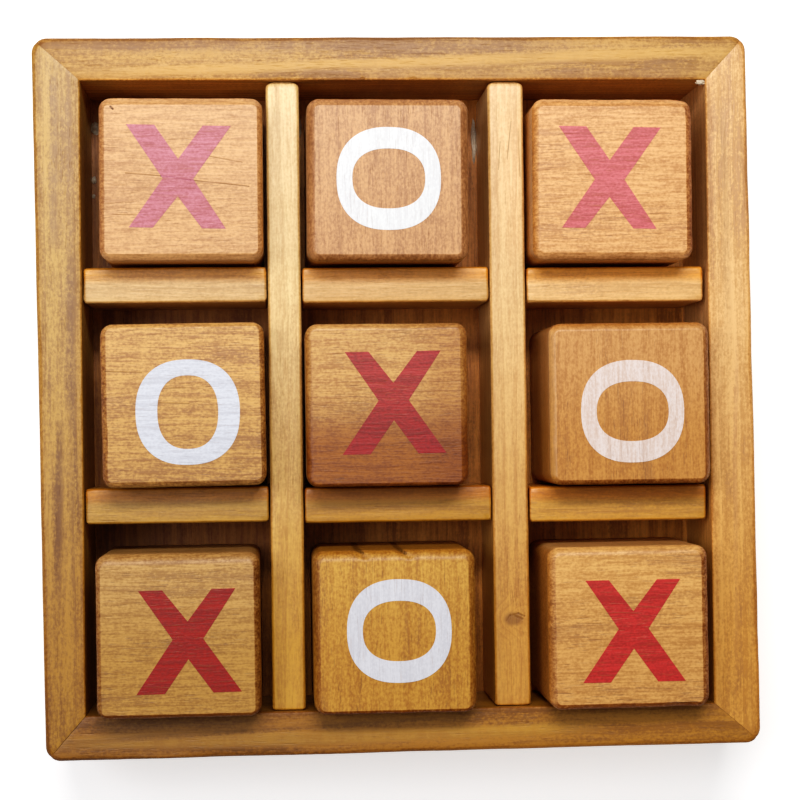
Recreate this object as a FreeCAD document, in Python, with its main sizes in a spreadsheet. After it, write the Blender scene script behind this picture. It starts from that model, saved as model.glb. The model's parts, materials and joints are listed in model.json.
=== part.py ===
"""Tic tac toe set: a mitred wooden tray with nine cells and nine loose marked blocks.

The tray lies flat on its underside. +Z is up, +X is to the player's right and +Y points away
from the player. The origin is the centre of the footprint, at the level of the underside.
Lengths are in millimetres and angles in degrees.
"""
import FreeCAD, Part
import math
import os

import Sketcher
from FreeCAD import Placement, Rotation, Vector

DIMENSIONS = {
    # Tray: inner opening, heights above the underside, and the base panel let into the rails
    "opening_width": 89.2,
    "opening_depth": 89.4,
    "rail_height": 20.9,
    "base_thickness": 3.2,
    "rebate_depth": 3.0,
    "base_clearance": 0.1,
    "corner_radius": 2.2,
    "rail_outer_easing": 0.6,
    "rail_inner_easing": 0.3,
    # Hand-planed rails: each side is a little wider at one end than at the other
    "left_rail_back": 6.8,
    "left_rail_front": 5.7,
    "right_rail_back": 6.0,
    "right_rail_front": 6.8,
    "back_rail_left": 6.1,
    "back_rail_right": 6.4,
    "front_rail_left": 6.4,
    "front_rail_right": 5.9,
    # Dividers stand on the base panel; the long ones run from back rail to front rail
    "divider_height": 16.6,
    "left_divider_x": -16.1,
    "left_divider_width": 4.8,
    "right_divider_x": 15.8,
    "right_divider_width": 5.2,
    "divider_easing": 0.4,
    "divider_end_gap": 0.1,
    # Rungs: the short dividers that cross each column
    "rung_width": 5.1,
    "rung_gap": 0.15,
    "right_rung_gap": 0.55,
    # Blocks
    "block_size": 22.7,
    "block_corner_radius": 1.7,
    "block_edge_radius": 1.0,
    # Marks: a thin film of ink on each block
    "ink_thickness": 0.05,
    "cross_height": 14.3,
    "cross_top_width": 13.4,
    "cross_bottom_width": 14.5,
    "cross_top_stroke": 3.3,
    "cross_bottom_stroke": 3.9,
    "cross_waist_height": 7.45,
    "cross_waist_width": 4.2,
    "cross_top_notch": 4.4,
    "cross_bottom_notch": 4.7,
    "ring_width": 14.4,
    "ring_height": 14.6,
    "ring_side_stroke": 3.0,
    "ring_end_stroke": 2.2,
    "ring_squareness": 2.35,
}

# Centre line of each rung, measured along Y
RUNG_CENTRES = {
    "back_left_rung": 15.8,
    "back_centre_rung": 15.6,
    "back_right_rung": 15.4,
    "front_left_rung": -15.4,
    "front_centre_rung": -15.7,
    "front_right_rung": -16.0,
}

# How each loose block lies: place of its centre, its turn, and the mark printed on it
BLOCKS = {
    "back_left": {"x": -30.3, "y": 30.1, "turn": -0.2,
                  "mark": "cross", "mark_x": -0.4, "mark_y": 0.3, "mark_turn": 179.0},
    "back_centre": {"x": -1.5, "y": 29.9, "turn": -0.3,
                    "mark": "ring", "mark_x": 0.1, "mark_y": 0.1, "mark_turn": 90.0},
    "back_right": {"x": 30.2, "y": 29.8, "turn": -0.3,
                   "mark": "cross", "mark_x": -0.5, "mark_y": 0.2, "mark_turn": 179.2},
    "middle_left": {"x": -30.3, "y": -1.3, "turn": 0.5,
                    "mark": "ring", "mark_x": 0.6, "mark_y": -1.0, "mark_turn": 0.0},
    "middle_centre": {"x": -2.0, "y": -1.6, "turn": 0.1,
                      "mark": "cross", "mark_x": 0.9, "mark_y": 0.3, "mark_turn": 0.3},
    "middle_right": {"x": 32.2, "y": -1.8, "turn": 0.1,
                     "mark": "ring", "mark_x": 0.3, "mark_y": -1.1, "mark_turn": 90.0},
    "front_left": {"x": -31.3, "y": -33.2, "turn": 0.2,
                   "mark": "cross", "mark_x": 1.3, "mark_y": -0.8, "mark_turn": 0.6},
    "front_centre": {"x": -1.3, "y": -33.2, "turn": 0.1,
                     "mark": "ring", "mark_x": 0.6, "mark_y": 0.1, "mark_turn": 90.0},
    "front_right": {"x": 31.6, "y": -33.2, "turn": 0.2,
                    "mark": "cross", "mark_x": 0.6, "mark_y": -0.5, "mark_turn": 0.0},
}

SHEET = "Dimensions"
RING_POINTS = 24          # points on the formula curve of a ring mark
TOUCH = 1e-6              # how near two coordinates are to count as the same


def make_sheet(doc):
    """Put every driving dimension in a spreadsheet cell with an alias of its own."""
    values = dict(DIMENSIONS)
    for name, centre in RUNG_CENTRES.items():
        values[name + "_y"] = centre
    for name, lie in BLOCKS.items():
        for key in ("x", "y", "turn", "mark_x", "mark_y", "mark_turn"):
            values[name + "_" + key] = lie[key]
    sheet = doc.addObject("Spreadsheet::Sheet", SHEET)
    for row, (alias, value) in enumerate(values.items(), start=1):
        sheet.set("A%d" % row, alias)
        sheet.set("B%d" % row, str(value))
        sheet.setAlias("B%d" % row, alias)
    doc.recompute()
    return sheet


def cells(formula):
    """Turn a formula with <alias> words into an expression on the sheet."""
    return formula.replace("<", SHEET + ".").replace(">", "")


def value_of(sheet, formula):
    """Present value of a formula on the sheet."""
    return float(sheet.evalExpression(cells(formula)))


def polygon_sketch(sheet, sketch, corners):
    """Draw a closed polygon whose corners are pairs of formulas, and tie it to the sheet."""
    points = [Vector(value_of(sheet, x), value_of(sheet, y), 0) for x, y in corners]
    count = len(points)
    for index in range(count):
        line = Part.LineSegment(points[index], points[(index + 1) % count])
        sketch.addGeometry(line, False)
    for index in range(count):
        following = (index + 1) % count
        sketch.addConstraint(Sketcher.Constraint("Coincident", index, 2, following, 1))
    for index, (x, y) in enumerate(corners):
        for kind, formula, place in (("DistanceX", x, points[index].x),
                                     ("DistanceY", y, points[index].y)):
            constraint = Sketcher.Constraint(kind, -1, 1, index, 1, place)
            number = sketch.addConstraint(constraint)
            sketch.setExpression("Constraints[%d]" % number, cells(formula))
    return sketch


def origin_plane(body, role):
    """The body's own origin plane with the given role."""
    return next(item for item in body.Origin.OriginFeatures if item.Role == role)


def padded_body(doc, sheet, name, corners, height):
    """A PartDesign body: a polygon on the XY plane, padded upwards."""
    body = doc.addObject("PartDesign::Body", name)
    body.Label = name
    sketch = body.newObject("Sketcher::SketchObject", name + "_outline")
    sketch.AttachmentSupport = [(origin_plane(body, "XY_Plane"), "")]
    sketch.MapMode = "FlatFace"
    polygon_sketch(sheet, sketch, corners)
    pad = body.newObject("PartDesign::Pad", name + "_pad")
    pad.Profile = sketch
    pad.setExpression("Length", cells(height))
    sketch.Visibility = False
    doc.recompute()
    return body


def edge_names(shape, wanted):
    """Names of the shape's edges for which wanted(edge) is true."""
    return ["Edge%d" % number for number, edge in enumerate(shape.Edges, start=1) if wanted(edge)]


def fillet_body(doc, body, suffix, radius, wanted):
    """Round the edges that wanted() picks on the body's present shape."""
    base = body.Tip
    fillet = body.newObject("PartDesign::Fillet", body.Name + suffix)
    fillet.Base = (base, edge_names(base.Shape, wanted))
    fillet.setExpression("Radius", cells(radius))
    doc.recompute()
    return fillet


def is_upright(edge):
    """True for an edge that runs along Z."""
    return edge.BoundBox.ZLength > TOUCH and edge.BoundBox.XLength + edge.BoundBox.YLength < TOUCH


def is_level_at(edge, heights):
    """True for an edge that lies at one of the given heights."""
    if edge.BoundBox.ZLength > TOUCH:
        return False
    return any(abs(edge.BoundBox.ZMin - height) < TOUCH for height in heights)


def rectangle(width, depth):
    """Corner formulas of a rectangle centred on the origin."""
    half_x = "(%s) / 2" % width
    half_y = "(%s) / 2" % depth
    return [("-" + half_x, "-" + half_y), (half_x, "-" + half_y),
            (half_x, half_y), ("-" + half_x, half_y)]


def place(item, x, y, z, turn="0"):
    """Tie an item's placement to the sheet."""
    item.setExpression(".Placement.Base.x", cells(x))
    item.setExpression(".Placement.Base.y", cells(y))
    item.setExpression(".Placement.Base.z", cells(z))
    if turn != "0":
        item.Placement = Placement(Vector(), Rotation(Vector(0, 0, 1), 1))
        item.setExpression(".Placement.Rotation.Angle", cells(turn))


def prism(doc, sheet, name, corners, height):
    """A Part extrusion of a polygon, upwards from the XY plane."""
    sketch = doc.addObject("Sketcher::SketchObject", name + "_sketch")
    polygon_sketch(sheet, sketch, corners)
    body = doc.addObject("Part::Extrusion", name)
    body.Base = sketch
    body.DirMode = "Normal"
    body.Solid = True
    body.setExpression("LengthFwd", cells(height))
    sketch.Visibility = False
    doc.recompute()
    return body


def box(doc, name, width, depth, height):
    """A Part box centred on the Z axis, standing on the XY plane."""
    item = doc.addObject("Part::Box", name)
    item.setExpression("Length", cells(width))
    item.setExpression("Width", cells(depth))
    item.setExpression("Height", cells(height))
    place(item, "-(%s) / 2" % width, "-(%s) / 2" % depth, "0")
    return item


def cut(doc, name, base, tool):
    """base minus tool."""
    item = doc.addObject("Part::Cut", name)
    item.Base = base
    item.Tool = tool
    doc.recompute()
    return item


def fillet(doc, sheet, name, base, radius, wanted):
    """A Part fillet with one radius on the edges that wanted() picks."""
    item = doc.addObject("Part::Fillet", name)
    item.Base = base
    size = value_of(sheet, radius)
    numbers = [int(edge[4:]) for edge in edge_names(base.Shape, wanted)]
    item.Edges = [(number, size, size) for number in numbers]
    doc.recompute()
    return item


def tray_corners():
    """Formulas of the outer and inner corners of the tray frame."""
    half_x = "<opening_width> / 2"
    half_y = "<opening_depth> / 2"
    outer = {
        "back_left": ("-%s - <left_rail_back>" % half_x, "%s + <back_rail_left>" % half_y),
        "back_right": ("%s + <right_rail_back>" % half_x, "%s + <back_rail_right>" % half_y),
        "front_right": ("%s + <right_rail_front>" % half_x, "-%s - <front_rail_right>" % half_y),
        "front_left": ("-%s - <left_rail_front>" % half_x, "-%s - <front_rail_left>" % half_y),
    }
    inner = {
        "back_left": ("-" + half_x, half_y),
        "back_right": (half_x, half_y),
        "front_right": (half_x, "-" + half_y),
        "front_left": ("-" + half_x, "-" + half_y),
    }
    return outer, inner


def make_frame_ring(doc, sheet):
    """The whole tray frame before it is parted at the mitres."""
    outer, _ = tray_corners()
    order = ("front_left", "front_right", "back_right", "back_left")
    blank = prism(doc, sheet, "frame_blank", [outer[corner] for corner in order],
                  "<rail_height>")
    rounded = fillet(doc, sheet, "frame_rounded", blank, "<corner_radius>", is_upright)
    opening = box(doc, "frame_opening", "<opening_width>", "<opening_depth>", "<rail_height>")
    hollow = cut(doc, "frame_hollow", rounded, opening)
    rebate = box(doc, "frame_rebate", "<opening_width> + 2 * <rebate_depth>",
                 "<opening_depth> + 2 * <rebate_depth>", "<base_thickness>")
    rebated = cut(doc, "frame_rebated", hollow, rebate)

    top = value_of(sheet, "<rail_height>")
    return fillet(doc, sheet, "frame_ring", rebated, "<rail_outer_easing>",
                  lambda edge: is_level_at(edge, [top]) and not borders_opening(sheet, edge))


def borders_opening(sheet, edge):
    """True for an edge that lies on the walls of the tray's opening."""
    bounds = edge.BoundBox
    reach_x = value_of(sheet, "<opening_width> / 2") + TOUCH
    reach_y = value_of(sheet, "<opening_depth> / 2") + TOUCH
    return (max(abs(bounds.XMin), abs(bounds.XMax)) < reach_x
            and max(abs(bounds.YMin), abs(bounds.YMax)) < reach_y)


def make_rails(doc, sheet):
    """Four rails: the frame ring parted along the mitre lines."""
    ring = make_frame_ring(doc, sheet)
    top = value_of(sheet, "<rail_height>")
    outer, inner = tray_corners()
    sides = {
        "back_rail": ("back_left", "back_right"),
        "right_rail": ("back_right", "front_right"),
        "front_rail": ("front_right", "front_left"),
        "left_rail": ("front_left", "back_left"),
    }
    rails = []
    for name, (first, second) in sides.items():
        corners = [outer[first], outer[second], inner[second], inner[first]]
        mitred = doc.addObject("Part::Common", name + "_mitred")
        mitred.Base = ring
        mitred.Tool = prism(doc, sheet, name + "_span", corners, "<rail_height>")
        doc.recompute()
        rail = fillet(doc, sheet, name, mitred, "<rail_inner_easing>",
                      lambda edge: is_level_at(edge, [top]) and borders_opening(sheet, edge))
        rail.Label = name
        rails.append(rail)
    return rails


def make_base(doc, sheet):
    """The base panel, let into the rebates so that its underside is flush with the rails."""
    width = "<opening_width> + 2 * <rebate_depth> - 2 * <base_clearance>"
    depth = "<opening_depth> + 2 * <rebate_depth> - 2 * <base_clearance>"
    return padded_body(doc, sheet, "base_panel", rectangle(width, depth), "<base_thickness>")


def eased_bar(doc, sheet, name, width, depth):
    """A bar of divider stock with its top edges and its upright corners eased."""
    bar = padded_body(doc, sheet, name, rectangle(width, depth), "<divider_height>")
    top = value_of(sheet, "<divider_height>")
    fillet_body(doc, bar, "_easing", "<divider_easing>",
                lambda edge: is_level_at(edge, [top]))
    return bar


def make_dividers(doc, sheet):
    """The two long dividers that part the tray into three columns."""
    dividers = []
    for name in ("left_divider", "right_divider"):
        bar = eased_bar(doc, sheet, name, "<%s_width>" % name,
                        "<opening_depth> - 2 * <divider_end_gap>")
        place(bar, "<%s_x>" % name, "0", "<base_thickness>")
        dividers.append(bar)
    return dividers


def make_rungs(doc, sheet):
    """The six short dividers that part each column into three cells."""
    columns = {
        "left": ("-<opening_width> / 2 + <rung_gap>",
                 "<left_divider_x> - <left_divider_width> / 2 - <rung_gap>"),
        "centre": ("<left_divider_x> + <left_divider_width> / 2 + <rung_gap>",
                   "<right_divider_x> - <right_divider_width> / 2 - <rung_gap>"),
        "right": ("<right_divider_x> + <right_divider_width> / 2 + <rung_gap>",
                  "<opening_width> / 2 - <right_rung_gap>"),
    }
    rungs = []
    for name in RUNG_CENTRES:
        start, end = columns[name.split("_")[1]]
        bar = eased_bar(doc, sheet, name, "(%s) - (%s)" % (end, start), "<rung_width>")
        place(bar, "((%s) + (%s)) / 2" % (start, end), "<%s_y>" % name, "<base_thickness>")
        rungs.append(bar)
    return rungs


def make_block(doc, sheet, cell):
    """A loose cube with rounded corners and edges, standing on the base panel in its cell."""
    name = cell + "_block"
    block = padded_body(doc, sheet, name, rectangle("<block_size>", "<block_size>"),
                        "<block_size>")
    fillet_body(doc, block, "_corners", "<block_corner_radius>", is_upright)
    size = value_of(sheet, "<block_size>")
    fillet_body(doc, block, "_edges", "<block_edge_radius>",
                lambda edge: is_level_at(edge, [0.0, size]))
    place(block, "<%s_x>" % cell, "<%s_y>" % cell, "<base_thickness>", "<%s_turn>" % cell)
    return block


def mirrored(corners):
    """Close a right-hand outline, listed from top to bottom, with its mirror image."""
    left = [("-(%s)" % x, y) for x, y in reversed(corners) if x != "0"]
    return corners + left


def cross_corners():
    """Corner formulas of the letter X, centred on the origin."""
    top = "<cross_height> / 2"
    bottom = "-<cross_height> / 2"
    return mirrored([
        ("0", "%s - <cross_top_notch>" % top),
        ("<cross_top_width> / 2 - <cross_top_stroke>", top),
        ("<cross_top_width> / 2", top),
        ("<cross_waist_width> / 2", "%s + <cross_waist_height>" % bottom),
        ("<cross_bottom_width> / 2", bottom),
        ("<cross_bottom_width> / 2 - <cross_bottom_stroke>", bottom),
        ("0", "%s + <cross_bottom_notch>" % bottom),
    ])


def superellipse_face(half_x, half_y, power):
    """A flat face bounded by |x / half_x|^power + |y / half_y|^power = 1."""
    points = []
    for index in range(RING_POINTS):
        angle = 2 * math.pi * index / RING_POINTS
        across, along = math.cos(angle), math.sin(angle)
        x = half_x * math.copysign(abs(across) ** (2 / power), across)
        y = half_y * math.copysign(abs(along) ** (2 / power), along)
        points.append(Vector(x, y, 0))
    curve = Part.BSplineCurve()
    curve.interpolate(Points=points, PeriodicFlag=True)
    return Part.Face(Part.Wire(curve.toShape()))


def ring_shape(sheet):
    """The letter O as a thin solid, centred on the origin."""
    half_x = value_of(sheet, "<ring_width> / 2")
    half_y = value_of(sheet, "<ring_height> / 2")
    side = value_of(sheet, "<ring_side_stroke>")
    end = value_of(sheet, "<ring_end_stroke>")
    power = value_of(sheet, "<ring_squareness>")
    outside = superellipse_face(half_x, half_y, power)
    inside = superellipse_face(half_x - side, half_y - end, power)
    film = outside.cut(inside).Faces[0]
    return film.extrude(Vector(0, 0, value_of(sheet, "<ink_thickness>")))


def make_mark(doc, sheet, cell):
    """The ink film on top of a block, moved and turned with it."""
    kind = BLOCKS[cell]["mark"]
    name = "%s_%s_mark" % (cell, kind)
    if kind == "cross":
        mark = padded_body(doc, sheet, name, cross_corners(), "<ink_thickness>")
    else:
        mark = doc.addObject("Part::Feature", name)
        mark.Label = name
        mark.Shape = ring_shape(sheet)
    turn = "<%s_turn>" % cell
    shift_x, shift_y = "<%s_mark_x>" % cell, "<%s_mark_y>" % cell
    swing = "%s * 1 deg" % turn
    place(mark,
          "<%s_x> + %s * cos(%s) - %s * sin(%s)" % (cell, shift_x, swing, shift_y, swing),
          "<%s_y> + %s * sin(%s) + %s * cos(%s)" % (cell, shift_x, swing, shift_y, swing),
          "<base_thickness> + <block_size>",
          "%s + <%s_mark_turn>" % (turn, cell))
    return mark


def make_blocks(doc, sheet):
    """Nine blocks and the mark on each."""
    pieces = []
    for cell in BLOCKS:
        pieces.append(make_block(doc, sheet, cell))
        pieces.append(make_mark(doc, sheet, cell))
    return pieces


def check_document(doc, pieces):
    """Stop if any feature failed or any piece isn't one sound solid."""
    for item in doc.Objects:
        if "Invalid" in item.State or "Error" in item.State:
            raise RuntimeError("%s failed to compute" % item.Name)
    for piece in pieces:
        shape = piece.Shape
        if shape.isNull() or not shape.isValid() or len(shape.Solids) != 1:
            raise RuntimeError("%s has no sound shape" % piece.Label)


def main():
    doc = FreeCAD.newDocument("tic_tac_toe_set")
    sheet = make_sheet(doc)
    pieces = make_rails(doc, sheet) + [make_base(doc, sheet)]
    pieces += make_dividers(doc, sheet) + make_rungs(doc, sheet) + make_blocks(doc, sheet)
    doc.recompute()
    check_document(doc, pieces)
    os.makedirs("parts", exist_ok=True)
    for piece in pieces:
        piece.Shape.exportStep("parts/%s.step" % piece.Label)
        print("%-28s %9.2f mm3" % (piece.Label, piece.Shape.Volume))


main()
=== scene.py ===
"""Tic tac toe set: nine loose wooden cubes with printed marks, lying in a mitred wooden tray.

Lengths are in millimetres until MM turns them into metres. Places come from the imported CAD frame.
+Z is up, +X is the player's right and +Y points away from the player.
"""
import json
import math
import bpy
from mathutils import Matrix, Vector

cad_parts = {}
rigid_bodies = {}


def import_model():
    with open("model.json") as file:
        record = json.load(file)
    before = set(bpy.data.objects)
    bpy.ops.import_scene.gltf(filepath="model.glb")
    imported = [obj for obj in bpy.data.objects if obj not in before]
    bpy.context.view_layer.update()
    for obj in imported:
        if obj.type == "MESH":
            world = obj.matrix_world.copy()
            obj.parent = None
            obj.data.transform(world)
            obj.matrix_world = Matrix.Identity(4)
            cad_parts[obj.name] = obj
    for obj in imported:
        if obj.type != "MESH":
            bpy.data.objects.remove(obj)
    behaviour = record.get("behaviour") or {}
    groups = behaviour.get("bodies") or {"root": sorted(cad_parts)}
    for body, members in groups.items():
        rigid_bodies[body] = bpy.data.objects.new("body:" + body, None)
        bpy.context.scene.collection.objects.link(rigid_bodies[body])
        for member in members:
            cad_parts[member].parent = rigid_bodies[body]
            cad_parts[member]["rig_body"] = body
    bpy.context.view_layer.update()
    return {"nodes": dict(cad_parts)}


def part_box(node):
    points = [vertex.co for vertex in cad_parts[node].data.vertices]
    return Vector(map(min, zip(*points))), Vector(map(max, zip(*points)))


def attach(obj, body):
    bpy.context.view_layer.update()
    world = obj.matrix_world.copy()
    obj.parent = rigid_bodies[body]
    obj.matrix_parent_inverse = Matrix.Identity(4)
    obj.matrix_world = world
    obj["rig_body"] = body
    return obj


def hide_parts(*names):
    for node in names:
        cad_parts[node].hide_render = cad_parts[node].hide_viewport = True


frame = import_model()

from types import SimpleNamespace

import bpy
import bmesh
from mathutils import Matrix, Vector, noise

MM = 0.001

# -------- shapes

RAIL_WIDTHS = {  # mm at the two ends of each hand-cut rail
    "left_rail": {"back": 6.8, "front": 5.7},
    "right_rail": {"back": 6.0, "front": 6.8},
    "back_rail": {"left": 6.1, "right": 6.4},
    "front_rail": {"left": 6.4, "right": 5.9},
}
OUTER_CORNER = 2.2  # plan radius of the tray's corners
RAIL_STEP = 0.55  # between the rings along a rail
REBATE = (3.0, 3.2)  # how far in and how high the base panel's rebate goes
# Each rail stops short of its mitre by the gap, and its top is lower there by the ease.
MITRE_GAP = {"back_left": 0.008, "front_left": 0.04, "front_right": 0.02, "back_right": 0.008}
MITRE_EASE = 0.03
SHARP_ANGLE = math.radians(38)

# Hand-sanded cubes. Each tuple is for the north, east, south and west side of the top: the bevel's width in
# mm, how round it is (0 a flat chamfer, 1 a quarter circle), and its edge's wear (dark above 0; below 0
# bared wood with a painted golden highlight).
BLOCKS = {
    "back_left": {
        "mark": "cross", "turn": -0.2, "bevels": (1.10, 0.81, 0.96, 0.84),
        "round": (0.1, 0.2, 0.1, 0.5), "edges": (0.10, 0.35, 0.15, 0.45),
    },
    "back_centre": {
        "mark": "ring", "turn": -0.3, "bevels": (1.11, 1.20, 0.89, 1.22),
        "round": (0.4, 0.5, 0.3, 0.5), "edges": (0.25, 0.45, 0.40, 0.40),
    },
    "back_right": {
        "mark": "cross", "turn": -0.3, "bevels": (1.22, 1.00, 1.05, 1.00),
        "round": (0.5, 0.5, 0.4, 0.4), "edges": (0.20, 0.70, 0.40, 0.15),
    },
    "middle_left": {
        "mark": "ring", "turn": 0.5, "bevels": (0.72, 0.75, 0.83, 0.87),
        "round": (0.5, 0.3, 0.5, 0.5), "edges": (0.10, 0.60, 0.45, 0.60),
    },
    "middle_centre": {
        "mark": "cross", "turn": 0.1, "bevels": (0.92, 1.10, 0.50, 1.00),
        "round": (0.7, 0.3, 0.7, 0.6), "edges": (0.05, 0.15, 0.60, 0.30),
    },
    "middle_right": {
        "mark": "ring", "turn": 0.1, "bevels": (1.15, 0.91, 0.74, 0.96),
        # Below 0 on its west edge: bared wood with a painted golden highlight.
        "round": (0.7, 0.5, 0.6, 0.5), "edges": (0.10, 0.60, 0.75, -0.08),
    },
    "front_left": {
        "mark": "cross", "turn": 0.2, "bevels": (1.65, 0.95, 0.58, 0.72),
        "round": (1.0, 0.5, 0.7, 0.6), "edges": (0.35, 0.80, 1.00, 0.60),
    },
    "front_centre": {
        "mark": "ring", "turn": 0.1, "bevels": (1.60, 1.04, 0.50, 1.03),
        "round": (0.9, 0.5, 0.7, 0.5), "edges": (0.30, 0.60, 1.00, 0.60),
    },
    "front_right": {
        "mark": "cross", "turn": 0.2, "bevels": (1.35, 1.07, 0.78, 1.13),
        "round": (1.0, 0.6, 0.7, 0.4), "edges": (0.12, 0.80, 1.00, 0.45),
    },
}
BLOCK_CORNER = 1.7  # plan radius of a cube's corners, and of the flat printed part of its top
FLAT_CORNER = 0.55
SIDE_STEPS, CORNER_STEPS = 56, 7
BAR_SIDE_STEPS, BAR_CORNER_STEPS = 6, 4
BAR_STEP = 0.9
END_SHARES = (0.0, 0.04, 0.15, 0.4, 0.7, 1.0)  # rings round a bar's end, as shares of its plan radius
FOOT_INSET = 0.8  # a cube's underside is this much smaller on each side
# The eased lower edge: share of FOOT_INSET, and height above the underside.
FOOT_RINGS = ((1.0, 0.0), (0.85, 0.05), (0.4, 0.25), (0.1, 0.6), (0.0, 1.0))
WALL_LEVELS = (0.2, 0.4, 0.6, 0.8)
WALL_WEAR = 0.75  # how much of a bevel's wear its wall shows
BEVEL_HEIGHT = 0.92  # a bevel's height as a share of its width
# A dent pushes the bevel in and down by these shares of its depth.
DENT_IN, DENT_DOWN = 0.35, 0.9
# Share of the bevel's width (from the wall) and of its height (from the top) at each ring.
CHAMFER = (
    (0.0, 1.45), (0.0, 1.16), (0.03, 0.98), (0.13, 0.80), (0.34, 0.56), (0.58, 0.33), (0.80, 0.145),
    (0.93, 0.04), (1.0, 0.0),
)
ARC = (
    (0.0, 1.45), (0.0, 1.16), (0.015, 0.83), (0.094, 0.577), (0.234, 0.357), (0.412, 0.191), (0.609, 0.08),
    (0.809, 0.018), (1.0, 0.0),
)
# Dents sanded or knocked into a top bevel: from (x, y) to (x, y) about the cube's centre, width, depth.
DENTS = {
    "front_centre": (
        (-5.6, 11.4, -3.9, 10.4, 0.25, 0.30),
        (0.4, 11.4, 2.3, 10.4, 0.25, 0.32),
    ),
    "front_right": ((6.0, -11.4, 8.6, -10.9, 0.9, 0.22),),
    "back_right": ((9.8, 10.9, 11.0, 9.8, 0.9, 0.25),),
    "middle_left": ((-10.9, -6.0, -10.9, -3.5, 0.7, 0.18),),
}


def side_of(name, side):
    """Where one side of a CAD node's box lies, in mm."""
    low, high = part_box(name)
    return {"west": low.x, "east": high.x, "south": low.y, "north": high.y}[side] / MM


def rough(place, size, seed):
    """Smooth unevenness between about -1 and 1. size is its wavelength in mm."""
    return noise.noise(Vector(place) / size + Vector((seed, 2.3 * seed, -1.7 * seed)))


def add_piece(name, rings, wear, material, node):
    """Closed skin through rings of points in mm. wear holds one value for each point."""
    count = len(rings[0])
    mesh = bpy.data.meshes.new(name)
    faces = []
    for k in range(len(rings) - 1):
        for i in range(count):
            j = (i + 1) % count
            faces.append((k * count + i, k * count + j, (k + 1) * count + j, (k + 1) * count + i))
    last = (len(rings) - 1) * count
    faces.append(tuple(reversed(range(count))))
    faces.append(tuple(range(last, last + count)))
    mesh.from_pydata([Vector(p) * MM for ring in rings for p in ring], [], faces)
    attribute = mesh.attributes.new("wear", "FLOAT", "POINT")
    attribute.data.foreach_set("value", [w for ring in wear for w in ring])
    return finish_mesh(name, mesh, material, node)


def finish_mesh(name, mesh, material, node, replaces=True):
    """Smooth shading with sharp edges kept, then an object that rides on its CAD node's body."""
    work = bmesh.new()
    work.from_mesh(mesh)
    bmesh.ops.recalc_face_normals(work, faces=work.faces)
    for face in work.faces:
        face.smooth = True
    for edge in work.edges:
        edge.smooth = edge.calc_face_angle(0.0) < SHARP_ANGLE
    work.to_mesh(mesh)
    work.free()
    mesh.materials.append(material)
    piece = bpy.data.objects.new(name, mesh)
    bpy.context.scene.collection.objects.link(piece)
    shading = piece.modifiers.new("flat_faces_stay_flat", "WEIGHTED_NORMAL")
    shading.mode = "FACE_AREA"
    shading.weight = 50
    shading.keep_sharp = True
    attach(piece, frame["nodes"][node]["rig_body"])
    if replaces:
        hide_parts(node)
    return piece


def rounded_loop(west, south, east, north, radius, side_steps, corner_steps):
    """Points round a rectangle, anticlockwise, as (x, y, outward angle)."""
    corners = (
        (east - radius, south + radius, -90),
        (east - radius, north - radius, 0),
        (west + radius, north - radius, 90),
        (west + radius, south + radius, 180),
    )
    loop = []
    for n, (x, y, start) in enumerate(corners):
        for s in range(corner_steps + 1):
            angle = math.radians(start + 90 * s / corner_steps)
            loop.append((x + radius * math.cos(angle), y + radius * math.sin(angle), angle))
        following = corners[(n + 1) % 4]
        turn = math.radians(start + 90)
        x0, y0, _ = loop[-1]
        x1, y1 = following[0] + radius * math.cos(turn), following[1] + radius * math.sin(turn)
        for s in range(1, side_steps):
            share = s / side_steps
            loop.append((x0 + (x1 - x0) * share, y0 + (y1 - y0) * share, turn))
    return loop


def by_side(values, angle):
    """Value at an outward angle, from the values on the north, east, south and west side."""
    north, east, south, west = values
    x, y = math.cos(angle), math.sin(angle)
    return x * x * (east if x > 0 else west) + y * y * (north if y > 0 else south)


def dent_depth(cell, x, y):
    """How deep the cube's dents are at a point about its centre."""
    depth = 0.0
    for x0, y0, x1, y1, width, deep in DENTS.get(cell, ()):
        along = Vector((x1 - x0, y1 - y0))
        share = max(0.0, min(1.0, (Vector((x - x0, y - y0)).dot(along)) / along.length_squared))
        away = (Vector((x0, y0)) + along * share - Vector((x, y))).length
        depth = max(depth, deep * math.exp(-((away / width) ** 2)))
    return depth


def pushed(wall, inner, share, index, wave):
    """Point a share of the way from the wall's loop to an inner loop, with the side's unevenness."""
    (x0, y0, angle), (x1, y1, _) = wall[index], inner[index]
    push = -abs(wave) if share == 0 else wave
    x, y = x0 + (x1 - x0) * share, y0 + (y1 - y0) * share
    return x + push * math.cos(angle), y + push * math.sin(angle)


def lower_rings(wall, foot, bottom, side, edges, seed):
    """Rings of a cube's eased lower edge and of its walls."""
    rings, wear = [], []
    for share, height in FOOT_RINGS:
        ring = []
        for i, (x, y, _) in enumerate(wall):
            wave = 0.05 * rough((x, y, height), 4.0, seed)
            ring.append((*pushed(wall, foot, share, i, wave), bottom + height))
        rings.append(ring)
        wear.append([0.6 if share < 1 else 0.2] * len(ring))
    for level in WALL_LEVELS:
        height = bottom + side * level
        ring = []
        for i, (x, y, _) in enumerate(wall):
            wave = 0.05 * rough((x, y, height), 7.0, seed + 3)
            ring.append((*pushed(wall, foot, 0.0, i, wave), height))
        rings.append(ring)
        wear.append([max(0.0, WALL_WEAR * by_side(edges, angle)) for _, _, angle in wall])
    return rings, wear


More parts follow.
